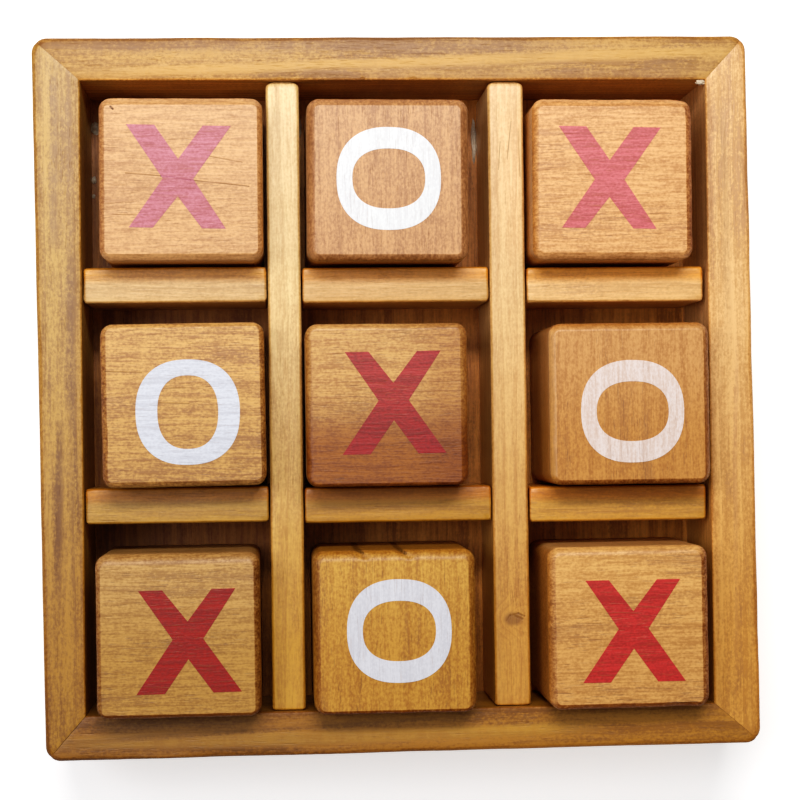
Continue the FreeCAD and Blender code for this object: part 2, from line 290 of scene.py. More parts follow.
def bevel_rings(cell, wall, flat, top, seed):
    """Rings of a cube's uneven top bevels, up to the edge of its flat top."""
    data = BLOCKS[cell]
    rings, wear = [], []
    for flatter, rounder in zip(CHAMFER, ARC):
        on_wall, on_top = flatter[0] == 0.0, flatter[0] == 1.0
        ring, worn = [], []
        for i, (x, y, angle) in enumerate(wall):
            roundness = by_side(data["round"], angle)
            share = flatter[0] + (rounder[0] - flatter[0]) * roundness
            drop = flatter[1] + (rounder[1] - flatter[1]) * roundness
            tall = by_side(data["bevels"], angle) * BEVEL_HEIGHT
            wave = 0.10 * rough((x, y, 0), 3.1, seed + 5) + 0.05 * rough((x, y, 0), 0.9, seed + 9)
            wave *= math.sin(math.pi * min(1.0, 0.15 + share))
            at_foot = 0.8 <= drop <= 1.3 and not on_top
            sag = 0.10 * rough((x, y, 4), 2.6, seed + 7) if at_foot else 0.0
            px, py = pushed(wall, flat, share, i, wave)
            pz = top + (sag - tall * drop)
            if on_top:
                edge = 0.07 * rough((x, y, 9), 1.6, seed + 11) + 0.04 * rough((x, y, 2), 0.6, seed + 13)
                px, py = px + edge * math.cos(angle), py + edge * math.sin(angle)
            else:
                dent = dent_depth(cell, px, py)
                px, py = px - DENT_IN * dent * math.cos(angle), py - DENT_IN * dent * math.sin(angle)
                pz -= DENT_DOWN * dent
            ring.append((px, py, min(pz, top)))
            worn.append(0.0 if on_top else by_side(data["edges"], angle) * (0.9 if on_wall else 1.0))
        rings.append(ring)
        wear.append(worn)
    return rings, wear


def make_block(cell, seed, material):
    """One loose cube: flat printed top, uneven sanded bevels, softly uneven sides."""
    node = cell + "_block"
    low, high = (Vector(p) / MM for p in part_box(node))
    centre = (low + high) / 2
    side = high.z - low.z
    half, foot_half = side / 2, side / 2 - FOOT_INSET
    north, east, south, west = BLOCKS[cell]["bevels"]
    wall = rounded_loop(-half, -half, half, half, BLOCK_CORNER, SIDE_STEPS, CORNER_STEPS)
    flat = rounded_loop(
        west - half, south - half, half - east, half - north, FLAT_CORNER, SIDE_STEPS, CORNER_STEPS
    )
    foot = rounded_loop(
        -foot_half, -foot_half, foot_half, foot_half, BLOCK_CORNER - FOOT_INSET, SIDE_STEPS, CORNER_STEPS
    )
    rings, wear = lower_rings(wall, foot, low.z, side, BLOCKS[cell]["edges"], seed)
    upper_rings, upper_wear = bevel_rings(cell, wall, flat, high.z, seed)
    turn = Matrix.Rotation(math.radians(BLOCKS[cell]["turn"]), 2)
    placed = []
    for ring in rings + upper_rings:
        moved = [(turn @ Vector((x, y)), z) for x, y, z in ring]
        placed.append([(p.x + centre.x, p.y + centre.y, z) for p, z in moved])
    return add_piece(cell + "_cube", placed, wear + upper_wear, material, node)


def end_inset(distance, radius):
    """How far a rounded end is drawn in at a distance from its tip."""
    return radius * (1 - math.sqrt(max(0.0, 1 - (1 - min(1.0, distance / radius)) ** 2)))


def beam_rings(name, axis, easing, seed, ends, chew):
    """Rings along a bar that fills its CAD node's box.

    easing is the radius of its long edges and ends the plan radius of its two ends, in mm. chew is how ragged
    the sawn ends are.
    """
    low, high = (Vector(p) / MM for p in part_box(name))
    if axis == "X":
        start, stop, side0, side1 = low.x, high.x, low.y, high.y
    else:
        start, stop, side0, side1 = low.y, high.y, low.x, high.x
    length = stop - start
    near = [ends[0] * share for share in END_SHARES]
    far = [length - ends[1] * share for share in reversed(END_SHARES)]
    count = max(8, round(length / BAR_STEP))
    middle = [near[-1] + (far[0] - near[-1]) * k / count for k in range(1, count)]
    rings, wear = [], []
    for station in near + middle + far:
        inset = end_inset(station, ends[0]) + end_inset(length - station, ends[1])
        sink = min(inset, 0.3)
        from_end = min(station, length - station)
        west, south, east, north = side0 + inset, low.z + sink / 2, side1 - inset, high.z - sink / 2
        loop = rounded_loop(west, south, east, north, easing, BAR_SIDE_STEPS, BAR_CORNER_STEPS)
        ring, worn = [], []
        for u, v, angle in loop:
            diagonal = abs(math.sin(2 * angle))
            wave = -0.14 * abs(rough((station, u, v), 2.2, seed)) * diagonal
            wave -= 0.03 * (1 + rough((station, u, v), 5.5, seed + 4))
            wave -= chew * math.exp(-from_end / 0.5) * abs(rough((station, u * 3, v), 0.5, seed + 8))
            u, v = u + wave * math.cos(angle), v + wave * math.sin(angle)
            along = start + station
            if from_end == 0:
                bite = 0.5 * chew * abs(rough((u, v, 0), 0.45, seed + 2))
                along += bite if station == 0 else -bite
            ring.append((along, u, v) if axis == "X" else (u, along, v))
            worn.append(max(diagonal, 1.0 if from_end < 0.2 else 0.0))
        rings.append(ring)
        wear.append(worn)
    return rings, wear


def make_beam(name, axis, easing, seed, material, ends, chew):
    """A divider or a rung."""
    rings, wear = beam_rings(name, axis, easing, seed, ends, chew)
    return add_piece(name + "_bar", rings, wear, material, name)


# The four rails

WEST, EAST = side_of("left_rail", "east"), side_of("right_rail", "west")
SOUTH, NORTH = side_of("front_rail", "north"), side_of("back_rail", "south")
INNER = {
    "back_left": Vector((WEST, NORTH)),
    "front_left": Vector((WEST, SOUTH)),
    "front_right": Vector((EAST, SOUTH)),
    "back_right": Vector((EAST, NORTH)),
}


def outer_corner(corner):
    """Outer point of a mitre, from its inner point and the widths of its two rails."""
    depth, side = corner.split("_")
    out_x = RAIL_WIDTHS[side + "_rail"][depth] * (-1 if side == "left" else 1)
    out_y = RAIL_WIDTHS[depth + "_rail"][side] * (-1 if depth == "front" else 1)
    return INNER[corner] + Vector((out_x, out_y))


OUTER = {corner: outer_corner(corner) for corner in INNER}
ROUND = tuple(INNER)  # the corners, anticlockwise
RAILS = {  # the two corners that each rail runs between, anticlockwise
    "left_rail": ("back_left", "front_left"),
    "front_rail": ("front_left", "front_right"),
    "right_rail": ("front_right", "back_right"),
    "back_rail": ("back_right", "back_left"),
}
ARC_STEPS = 10
INNER_HEIGHTS = (7.5, 12.0, 16.0, 19.0)  # rings of a rail's inner wall, top and outer wall
TOP_SHARES = (0.22, 0.4, 0.6, 0.78)
OUTER_HEIGHTS = (17.0, 13.0, 9.0, 5.0, 2.0)
# Small splinters out of a rail's inner top edge: (how far along the inner edge in mm, width, depth).
SPLINTERS = {
    "back_rail": ((42.1, 0.35, 0.35), (49.2, 0.28, 0.30), (61.0, 0.5, 0.15)),
    "left_rail": ((45.0, 0.5, 0.2), (24.0, 0.6, 0.12)),
    "front_rail": ((36.0, 0.7, 0.15),),
    "right_rail": ((30.0, 0.7, 0.2), (62.0, 0.5, 0.12)),
}


def corner_arc(corner):
    """Points of the rounded outer corner, anticlockwise round the tray."""
    at = ROUND.index(corner)
    here = OUTER[corner]
    before = (OUTER[ROUND[at - 1]] - here).normalized()
    after = (OUTER[ROUND[(at + 1) % 4]] - here).normalized()
    half = before.angle(after) / 2
    centre = here + (before + after).normalized() * OUTER_CORNER / math.sin(half)
    first, last = here + before * OUTER_CORNER / math.tan(half), here + after * OUTER_CORNER / math.tan(half)
    arc = []
    for s in range(ARC_STEPS + 1):
        share = s / ARC_STEPS
        spoke = ((first - centre) * (1 - share) + (last - centre) * share).normalized()
        arc.append(centre + spoke * OUTER_CORNER)
    return arc


def rail_path(name):
    """(inner point, outer point) pairs from one mitre to the other."""
    a, b = RAILS[name]
    middle = ARC_STEPS // 2
    outer = corner_arc(a)[middle:]
    begin, end = outer[-1], corner_arc(b)[0]
    count = round((end - begin).length / RAIL_STEP)
    outer += [begin.lerp(end, k / count) for k in range(1, count)]
    outer += corner_arc(b)[: middle + 1]
    lengths = [0.0]
    for p, q in zip(outer, outer[1:]):
        lengths.append(lengths[-1] + (q - p).length)
    return [(INNER[a].lerp(INNER[b], d / lengths[-1]), p) for d, p in zip(lengths, outer)]


def rail_section(width, slant, top, ease_in, ease_out, drop):
    """(distance from the inner edge, height, wear) round a rail's cross-section.

    slant widens the distances at a mitre, and drop lowers the top there.
    """
    rebate_in, rebate_up = REBATE
    section = [(rebate_in * slant, 0.0, 0.2), (rebate_in * slant, rebate_up, 0.0), (0.0, rebate_up, 0.0)]
    section += [(0.0, height, 0.0) for height in INNER_HEIGHTS]
    peak = top - drop
    for s in range(5):
        angle = math.radians(90 * s / 4)
        distance, height = ease_in * slant * (1 - math.cos(angle)), peak - ease_in * (1 - math.sin(angle))
        section.append((distance, height, 0.9 if 0 < s < 4 else 0.35))
    section += [(width * share, peak, 0.0) for share in TOP_SHARES]
    for s in range(6):
        angle = math.radians(90 * s / 5)
        distance = width - ease_out * slant * (1 - math.sin(angle))
        section.append((distance, peak - ease_out * (1 - math.cos(angle)), 1.0 if 0 < s < 5 else 0.3))
    section += [(width, height, 0.1) for height in OUTER_HEIGHTS]
    section += [(width, 0.5, 0.6), (width - 0.15 * slant, 0.15, 1.0), (width - 0.5 * slant, 0.0, 0.6)]
    return section


def make_rail(name, seed, material):
    """One mitred rail, with its uneven eased edges, its splinters and the thin gaps at its mitres."""
    a, b = RAILS[name]
    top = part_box(name)[1].z / MM
    path = rail_path(name)
    direction = (INNER[b] - INNER[a]).normalized()
    outward = Vector((direction.y, -direction.x))
    last = len(path) - 1
    rings, wear = [], []
    for k, (inner, outer) in enumerate(path):
        along = (inner - INNER[a]).dot(direction)
        drop = 0.0
        for end, sign, gap in ((0, 1, MITRE_GAP[a]), (last, -1, MITRE_GAP[b])):
            if abs(k - end) <= 1:
                shift = direction * (gap if k == end else min(0.1, gap)) * sign
                inner, outer = inner + shift, outer + shift
            if k == end:
                drop = MITRE_EASE
        across = outer - inner
        width = across.length
        slant = width / across.dot(outward)
        splinter = sum(deep * math.exp(-(((along - at) / wide) ** 2)) for at, wide, deep in SPLINTERS[name])
        ease_in = 0.28 + 0.12 * rough((along, 0, 0), 6.0, seed) + splinter
        ease_out = 0.62 + 0.28 * rough((along, 0, 3), 8.0, seed + 2)
        ease_out += 0.08 * rough((along, 0, 3), 1.5, seed + 3)
        ring, worn = [], []
        for distance, height, used in rail_section(width, slant, top, ease_in, ease_out, drop):
            place = inner + across * (distance / width)
            z = height
            if height > INNER_HEIGHTS[-1] + 1:
                z -= 0.03 * (1 + rough((along, distance, 5), 6.0, seed + 6))
            if distance > width * 0.9:
                place -= outward * (0.06 * (1 + rough((along, height, 1), 7.0, seed + 4)))
                if k in (0, last):
                    place -= across.normalized() * 0.05
            ring.append((place.x, place.y, max(0.0, z)))
            worn.append(used)
        rings.append(ring)
        wear.append(worn)
    return add_piece(name + "_moulding", rings, wear, material, name)


def make_blob(name, centre, size, seed, material, node):
    """Dried glue: a lumpy closed drop."""
    mesh = bpy.data.meshes.new(name)
    work = bmesh.new()
    bmesh.ops.create_icosphere(work, subdivisions=4, radius=1.0)
    for vertex in work.verts:
        swell = 1 + 0.35 * noise.noise(vertex.co * 1.9 + Vector((seed, 0, 0)))
        swell += 0.12 * noise.noise(vertex.co * 5.0 + Vector((0, seed, 0)))
        vertex.co = Vector([c + p * swell * half for c, p, half in zip(centre, vertex.co, size)]) * MM
    work.to_mesh(mesh)
    work.free()
    return finish_mesh(name, mesh, material, node, replaces=False)


# -------- materials

COAT_ROUGHNESS = 0.42
VARNISH_RELIEF = 0.35  # how much of the wood's relief shows through its varnish
KNOT_STRETCH, KNOT_LIFT = 1.35, 2.2
CRACK_COLOUR = (0.10, 0.035, 0.012)
KNOT_COLOUR = (0.30, 0.15, 0.045)
PORE_COLOUR = (0.22, 0.08, 0.02)
# bared wood's colour, screened on as a painted golden highlight
BARED_AND_HIGHLIGHT_COLOUR = (1.0, 0.60, 0.22)


class Graph:
    """Short calls for building one material's nodes. Inputs may be numbers, vectors or sockets."""

    def __init__(self, name):
        self.material = bpy.data.materials.new(name)
        self.material.use_nodes = True
        self.tree = self.material.node_tree
        self.tree.nodes.clear()

    def feed(self, socket, value):
        if isinstance(value, bpy.types.NodeSocket):
            self.tree.links.new(value, socket)
        else:
            socket.default_value = value

    def node(self, kind, inputs=None, **settings):
        made = self.tree.nodes.new("ShaderNode" + kind)
        for key, value in settings.items():
            setattr(made, key, value)
        for key, value in (inputs or {}).items():
            self.feed(made.inputs[key], value)
        return made

    def math(self, operation, *values, clamp=False):
        return self.node("Math", dict(enumerate(values)), operation=operation, use_clamp=clamp).outputs[0]

    def vector(self, operation, first, second):
        made = self.node("VectorMath", {0: first}, operation=operation)
        self.feed(made.inputs["Scale" if operation == "SCALE" else 1], second)
        return made.outputs["Vector"]

    def length(self, vector):
        return self.node("VectorMath", {0: vector}, operation="LENGTH").outputs["Value"]

    def join(self, x, y, z):
        return self.node("CombineXYZ", {0: x, 1: y, 2: z}).outputs[0]

    def split(self, vector):
        return self.node("SeparateXYZ", {0: vector}).outputs[:]

    def times(self, first, second, clamp=False):
        return self.math("MULTIPLY", first, second, clamp=clamp)

    def clamped(self, value):
        return self.math("ADD", value, 0.0, clamp=True)

    def noise(self, point, stretch, detail=2.0, roughness=0.55):
        """Noise with its mean moved to 0, from about -0.5 to 0.5."""
        place = self.vector("MULTIPLY", point, stretch)
        inputs = {"Vector": place, "Scale": 1.0, "Detail": detail, "Roughness": roughness}
        return self.math("SUBTRACT", self.node("TexNoise", inputs).outputs[0], 0.5)

    def step(self, value, low, high, start=0.0, end=1.0):
        """start below low, end above high, and smooth between them."""
        inputs = {"Value": value, "From Min": low, "From Max": high, "To Min": start, "To Max": end}
        return self.node("MapRange", inputs, interpolation_type="SMOOTHSTEP").outputs[0]

    def mix(self, factor, first, second, blend="MIX"):
        made = self.node("Mix", {0: factor}, data_type="RGBA", blend_type=blend)
        for index, value in ((6, first), (7, second)):
            if not isinstance(value, bpy.types.NodeSocket):
                value = (*value, 1.0)
            self.feed(made.inputs[index], value)
        return made.outputs[2]

    def total(self, *terms):
        """Sum of (factor, value) pairs and plain numbers."""
        result = None
        for term in terms:
            if isinstance(term, tuple):
                term = self.times(term[1], term[0])
            result = term if result is None else self.math("ADD", result, term)
        return result

    def finish(self, colour, relief, roughness, height=0.00005, coat=0.0, specular=0.4):
        """Shader and output. height is the relief's depth in metres."""
        bump = self.node("Bump", {"Height": relief, "Distance": height})
        varnish = self.node("Bump", {"Height": relief, "Distance": height * VARNISH_RELIEF})
        inputs = {
            "Base Color": colour, "Roughness": roughness, "Normal": bump.outputs[0],
            "Coat Weight": coat, "Coat Normal": varnish.outputs[0],
        }
        shader = self.node("BsdfPrincipled", inputs)
        shader.inputs["Coat Roughness"].default_value = COAT_ROUGHNESS
        shader.inputs["Specular IOR Level"].default_value = specular
        self.node("OutputMaterial", {"Surface": shader.outputs[0]})
        return self.material


# Each piece of wood also gives its axis (the way the grain runs), seed, pith (centre of the growth rings,
# across and up from the frame's centre), tint, and pale, deep and stain colours.
WOOD = {
    "stained": 0.5,  # how strong the stain's patches are
    "ring_gap": 1.7,
    "ring": 0.5,  # strength of the growth rings, and then of each noise
    "streak": 1.5,
    "speckle": 0.9,
    "cloud": 0.5,
    "pore": 0.16,
    "end_tint": (0.78, 0.66, 0.50),
    "wear_tint": (0.80, 0.66, 0.50),
    "roughness": 0.42,
    "coat": 1.0,
    "specular": 0.3,
    "bands": (),  # stripes: across the grain at its middle, slope, width, colour, strength, begin, end
    "cuts": (),  # dark cracks and gouges seen from above: from (x, y) to (x, y), width, strength
    "knot": None,  # along and across the grain, size
    "fades": (),  # colour changes along the tray, several of them painted sheen and shade: axis, start, stop, factor
}
WANDER = 0.8  # how far the grain bends, in mm
AXES = {"X": (0, 1, 2), "Y": (1, 0, 2), "Z": (2, 0, 1)}


def grain_fields(g, spec):
    """Places in mm and the noises that one piece of wood's colour and relief are mixed from."""
    texture = g.node("TexCoord")
    parts = g.split(g.vector("SCALE", texture.outputs["Object"], 1 / MM))
    order = AXES[spec["axis"]]
    along, across, up = (parts[i] for i in order)
    shifted = g.vector("ADD", g.join(along, across, up), spec["seed"])
    drift = g.noise(shifted, (0.022, 0.10, 0.10), 2.0)
    drift_up = g.noise(g.vector("ADD", shifted, (31.0, 7.0, 3.0)), (0.022, 0.10, 0.10), 1.0)
    bent = g.total((2 * WANDER, drift), across)
    bent_up = g.total((2 * WANDER, drift_up), up)
    grain = g.vector("ADD", g.join(along, bent, bent_up), spec["seed"])
    blotch = g.noise(shifted, (0.045, 0.17, 0.17), 3.0, 0.6)
    return SimpleNamespace(
        parts=parts, along=along, across=across, bent=bent, bent_up=bent_up, shifted=shifted, drift=drift,
        end_grain=g.math("ABSOLUTE", g.split(texture.outputs["Normal"])[order[0]]),
        fibre=g.noise(grain, (0.24, 3.1, 3.1), 3.0, 0.70),
        streak=g.noise(grain, (0.035, 0.95, 0.95), 3.0, 0.6),
        speckle=g.noise(shifted, (2.2, 3.0, 3.0), 2.0, 0.6),
        figure=g.noise(shifted, (0.75, 0.07, 0.07), 2.0, 0.6),
        blotch=blotch,
        pore=g.step(g.total((0.45, blotch), g.noise(grain, (0.42, 6.0, 6.0), 1.0)), 0.13, 0.28),
    )


def knot_masks(g, spec, f):
    """Where a knot lifts the growth rings, and its dark core."""
    place, side, size = spec["knot"]
    gone_along = g.times(g.math("SUBTRACT", f.along, place), KNOT_STRETCH)
    away = g.length(g.join(gone_along, g.math("SUBTRACT", f.across, side), 0.0))
    return g.step(away, size * 3.2, 0.0), g.step(away, size * 1.15, size * 0.5)


def growth_rings(g, spec, f, knot_lift):
    """Late wood, from 0 to 1 across each growth ring."""
    across, up = spec["pith"]
    radius = g.length(g.join(0.0, g.math("SUBTRACT", f.bent, across), g.math("SUBTRACT", f.bent_up, up)))
    phase = g.total((1 / spec["ring_gap"], radius), (1.1, g.noise(f.shifted, (0.01, 0.35, 0.35), 1.0)))
    if knot_lift is not None:
        phase = g.total((KNOT_LIFT, knot_lift), phase)
    return g.math("POWER", g.math("FRACT", phase), 2.2)


def base_colour(g, spec, f, late):
    """Pale to deep with the grain, and patches of stain."""
    tone = g.total(
        (spec["ring"], g.math("SUBTRACT", late, 0.31)), (spec["streak"], f.streak), (spec["fibre"], f.fibre),
        (spec["speckle"], f.speckle), (0.5, f.figure), (spec["cloud"], f.blotch), 0.5,
    )
    colour = g.mix(g.clamped(tone), spec["pale"], spec["deep"])
    soaked = g.step(g.total((1.0, f.blotch), (0.55, f.streak), (0.35, f.speckle)), 0.06, 0.22)
    return g.mix(g.times(soaked, spec["stained"]), colour, spec["stain"])


def add_bands(g, spec, f, colour):
    for centre, slope, width, tint, strength, begin, end in spec["bands"]:
        line = g.total((0.9, f.streak), (0.5, f.speckle), g.total((-slope, f.along), (1.0, f.bent), -centre))
        mask = g.step(g.math("ABSOLUTE", line), width, width * 0.25)
        soft = max(3.0, 0.12 * (end - begin))
        mask = g.times(mask, g.step(f.along, begin - soft, begin + soft))
        mask = g.times(mask, g.step(f.along, end + soft, end - soft))
        patchy = g.step(g.total((1.0, f.blotch), (0.7, f.speckle), (0.6, f.figure)), -0.22, 0.12, 0.45, 1.0)
        colour = g.mix(g.times(g.times(mask, patchy), strength), colour, tint)
    return colour


def add_cuts(g, spec, f, colour, relief):
    """Colour and relief with the cuts in them, and where the cuts are (None for wood without any)."""
    scar = None
    plan = g.join(f.parts[0], g.total((0.35, f.drift), f.parts[1]), 0.0)
    for x0, y0, x1, y1, width, strength in spec["cuts"]:
        gone = g.vector("SUBTRACT", plan, (x0, y0, 0.0))
        run = Vector((x1 - x0, y1 - y0, 0.0))
        share = g.node("VectorMath", {0: gone, 1: run / run.length_squared}, operation="DOT_PRODUCT")
        nearest = g.vector("SCALE", run, g.clamped(share.outputs["Value"]))
        away = g.total((0.10, f.speckle), g.length(g.vector("SUBTRACT", gone, nearest)))
        mask = g.times(g.step(away, width, width * 0.3), g.step(f.fibre, 0.16, -0.10, 0.4, 1.0))
        colour = g.mix(g.times(mask, strength), colour, CRACK_COLOUR)
        relief = g.total((-0.8 * strength, mask), relief)
        scar = mask if scar is None else g.math("MAXIMUM", scar, mask)
    return colour, relief, scar


def add_fades(g, spec, f, colour):
    for axis, start, stop, tint in spec["fades"]:
        place = f.parts["XYZ".index(axis)]
        reach = min(1.0, abs(stop - start) / 12)
        shade = g.step(g.total((4.0 * reach, f.blotch), (1.5 * reach, f.streak), place), start, stop)
        colour = g.mix(shade, colour, tint, "MULTIPLY")
    return colour


def wear_masks(g, f):
    """Where the wear attribute darkens the wood, and where it bares it under a painted golden highlight
    (below 0).
    """
    wear = g.node("Attribute", attribute_name="wear").outputs["Fac"]
    patchy = g.total((1.1, f.speckle), (0.9, f.streak), 1.0)
    worn = g.times(wear, patchy, clamp=True)
    bared_and_highlight = g.times(wear, g.times(patchy, -1.0), clamp=True)
    return worn, bared_and_highlight


def wood_nodes(g, spec):
    """Colour, relief (0 to 1), roughness and gloss of one piece of wood, and its grain fields."""
    f = grain_fields(g, spec)
    knot_lift, knot_core = knot_masks(g, spec, f) if spec["knot"] else (None, None)
    late = growth_rings(g, spec, f, knot_lift)
    relief = g.total((0.9, f.fibre), (0.18, late), (0.35, f.speckle), (-0.55, f.pore), 0.5)
    colour = add_bands(g, spec, f, base_colour(g, spec, f, late))
    colour, relief, scar = add_cuts(g, spec, f, colour, relief)
    if knot_core is not None:
        colour = g.mix(g.times(knot_core, 0.7), colour, KNOT_COLOUR)
    colour = g.mix(g.times(f.pore, spec["pore"]), colour, PORE_COLOUR)
    colour = add_fades(g, spec, f, colour)
    end_grain = g.step(g.total((0.2, f.speckle), f.end_grain), 0.45, 0.85)
    colour = g.mix(end_grain, colour, spec["end_tint"], "MULTIPLY")
    worn, bared_and_highlight = wear_masks(g, f)
    colour = g.mix(worn, colour, spec["wear_tint"], "MULTIPLY")
    # painted golden highlight on bared edges
    colour = g.mix(bared_and_highlight, colour, BARED_AND_HIGHLIGHT_COLOUR, "SCREEN")
    colour = g.mix(1.0, colour, spec["tint"], "MULTIPLY")
    roughness = g.total((0.35, f.fibre), (0.15, f.speckle), (0.18, f.pore), (0.22, worn), spec["roughness"])
    relief = g.total((1.6, g.times(worn, f.speckle)), relief)
    dulled = worn if scar is None else g.math("MAXIMUM", worn, scar)
    gloss = g.times(g.total((-0.85, dulled), 1.0), spec["coat"])
    return colour, relief, roughness, gloss, f


def wood(name, spec):
    """Varnished wood. spec holds what differs from WOOD."""
    g = Graph(name)
    spec = {**WOOD, **spec}
    colour, relief, roughness, gloss, _ = wood_nodes(g, spec)
    return g.finish(colour, relief, roughness, coat=gloss, specular=spec["specular"])


def ink(name, spec, pale, deep, cover, thin, low=None):
    """Printed ink that lets its cube's own grain show through."""
    g = Graph(name)
    colour, relief, roughness, _, f = wood_nodes(g, {**WOOD, **spec})
    film = g.mix(g.clamped(g.total((3.0, f.fibre), (2.0, f.streak), (2.4, f.speckle), 0.5)), pale, deep)
    if low is not None:
        start, stop, tint = low
        film = g.mix(g.step(g.total((5.0, f.streak), f.parts[1]), start, stop), film, tint, "MULTIPLY")
    gaps = g.math("MAXIMUM", g.step(f.fibre, 0.06, 0.26), g.times(f.pore, 0.8))
    colour = g.mix(g.clamped(g.total((-thin, gaps), cover)), colour, film)
    return g.finish(colour, relief, g.math("ADD", roughness, 0.05), height=0.00004, coat=0.3)


RAIL_LOOKS = {
    "back_rail": {
        "tint": (0.793, 0.734, 0.573), "axis": "X", "seed": (11.0, 3.0, 5.0), "pith": (70.0, -30.0),
        "pale": (0.76, 0.46, 0.17), "deep": (0.48, 0.26, 0.09), "stain": (0.35, 0.19, 0.10), "stained": 0.55,
        "coat": 0.3, "specular": 0.2,
        # painted light: brightens the rail's inner wall half again
        "fades": (("Y", NORTH + 0.4, NORTH + 0.05, (1.5, 1.5, 1.5)),),
        "bands": (
            (49.9, -0.004, 2.3, (0.36, 0.20, 0.12), 0.75, -46, 26),
            (47.2, 0.036, 1.1, (0.88, 0.54, 0.20), 0.75, -42, 48),
            (45.2, 0.004, 1.2, (0.42, 0.23, 0.12), 0.6, -8, 44),
        ),
    },
    "left_rail": {
        "tint": (0.778, 0.699, 0.321), "axis": "Y", "seed": (2.0, 17.0, 9.0), "pith": (-70.0, -20.0),
        # painted sheen and shade: darker and more saturated towards the front, paler at the back
        "fades": (("Y", 18, -40, (0.76, 0.63, 0.28)),),
        "pale": (0.74, 0.48, 0.24), "deep": (0.46, 0.26, 0.11), "stain": (0.34, 0.18, 0.10),
        "bands": (
            (-48.2, 0.0, 0.9, (0.36, 0.20, 0.13), 0.75, 22, 47),
            (-46.2, 0.01, 1.3, (0.25, 0.11, 0.055), 0.7, -2, 20),
            (-47.7, 0.03, 0.7, (0.24, 0.105, 0.04), 0.7, -26, -4),
            (-46.0, -0.03, 0.35, (0.24, 0.105, 0.04), 0.6, -20, -2),
        ),
    },
    "right_rail": {
        "tint": (1.105, 1.243, 2.182), "axis": "Y", "seed": (23.0, 8.0, 1.0), "pith": (75.0, -25.0),
        # painted sheen and shade: darker and more saturated towards the front, paler at the back
        "fades": (("Y", 18, -40, (0.80, 0.66, 0.30)),),
        "pale": (0.82, 0.43, 0.10), "deep": (0.58, 0.27, 0.05), "stain": (0.42, 0.20, 0.07), "stained": 0.35,
        "bands": (
            (47.3, -0.01, 0.8, (0.50, 0.25, 0.055), 0.5, 8, 40),
            (48.5, 0.02, 0.5, (0.55, 0.26, 0.07), 0.5, -40, 5),
        ),
    },
    "front_rail": {
        "tint": (0.862, 0.791, 0.321), "axis": "X", "seed": (5.0, 29.0, 12.0), "pith": (-90.0, -5.0),
        "pale": (0.56, 0.27, 0.065), "deep": (0.36, 0.155, 0.03), "stain": (0.24, 0.10, 0.03),
        "ring": 0.7, "ring_gap": 2.6,
        "fades": (("X", 38, -38, (0.70, 0.68, 0.78)),),
        "bands": (
            (-48.2, 0.008, 1.3, (0.74, 0.43, 0.15), 0.65, -46, 24),
            (-46.4, 0.045, 0.45, (0.24, 0.10, 0.03), 0.6, -42, 5),
            (-45.3, 0.0, 0.3, (0.26, 0.11, 0.03), 0.5, 5, 40),
        ),
    },
}


RAIL_WOOD = {
    "fibre": 1.5, "streak": 2.2, "speckle": 2.4, "pore": 0.12, "cloud": 2.0, "roughness": 0.45, "coat": 0.8,
    "wear_tint": (0.80, 0.68, 0.50), "end_tint": (0.7, 0.55, 0.4),
}


def rail_wood(name):
    return wood(name + "_wood", {**RAIL_WOOD, **RAIL_LOOKS[name]})


BAR_WOOD = {
    "pale": (0.86, 0.48, 0.13), "deep": (0.62, 0.32, 0.07), "stain": (0.45, 0.22, 0.06), "stained": 0.3,
    "fibre": 2.2, "speckle": 1.6, "pith": (-60.0, -30.0), "roughness": 0.45,
    "wear_tint": (0.84, 0.74, 0.58), "end_tint": (0.72, 0.58, 0.42),
}


def bar_wood(name):
    """Wood of a divider or a rung. A rung's side towards the back gets painted shade, redder and darker,
    where the cube behind it shades it.
    """
    look = {**BAR_WOOD, **BAR_LOOKS[name]}
    if name.endswith("rung"):
        north = side_of(name, "north")
        # painted shade of the cube to the north
        look["fades"] = (("Y", north - 2.6, north - 1.2, (1.15, 0.84, 0.22)),)
    return wood(name + "_wood", look)


